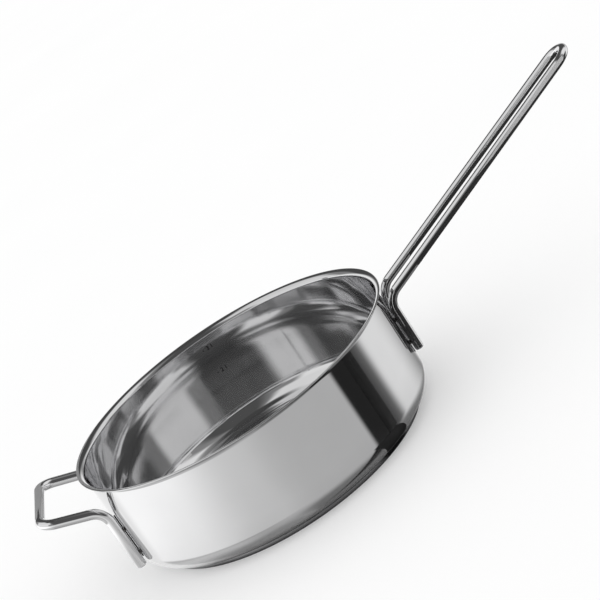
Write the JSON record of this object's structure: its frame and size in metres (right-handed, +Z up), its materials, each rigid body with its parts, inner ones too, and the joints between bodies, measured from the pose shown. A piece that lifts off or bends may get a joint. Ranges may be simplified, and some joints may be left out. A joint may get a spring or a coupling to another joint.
{
  "type": "saute pan",
  "caption": "Straight-walled stainless steel saute pan with a pouring rim, a capsule base, a long rod handle and a short rod helper handle, both spot welded to the wall.",
  "frame": {"origin": "centre of the base's underside, on the surface that the pan stands on", "axes": "+Z up, +X along the long handle, the helper handle towards -X; the pan mirrors onto itself across the XZ plane"},
  "size_m": [0.4836, 0.25, 0.151],
  "materials": {
    "body_steel": "stainless steel, mirror polished outside, fine satin polish inside",
    "core_aluminium": "bare pressed aluminium, hidden in the base",
    "base_steel": "stainless steel, turned with fine rings below, satin at the edge",
    "handle_steel": "bright polished stainless steel rod",
    "weld_steel": "dark heat-tinted spot weld"
  },
  "bodies": {
    "root": {"pan_body": "body_steel", "base_core": "core_aluminium", "base_cap": "base_steel", "long_handle": "handle_steel", "helper_handle": "handle_steel", "weld_long_front_lower": "weld_steel", "weld_long_front_upper": "weld_steel", "weld_long_back_lower": "weld_steel", "weld_long_back_upper": "weld_steel", "weld_helper_front_lower": "weld_steel", "weld_helper_front_upper": "weld_steel", "weld_helper_back_lower": "weld_steel", "weld_helper_back_upper": "weld_steel"}
  },
  "joints": []
}
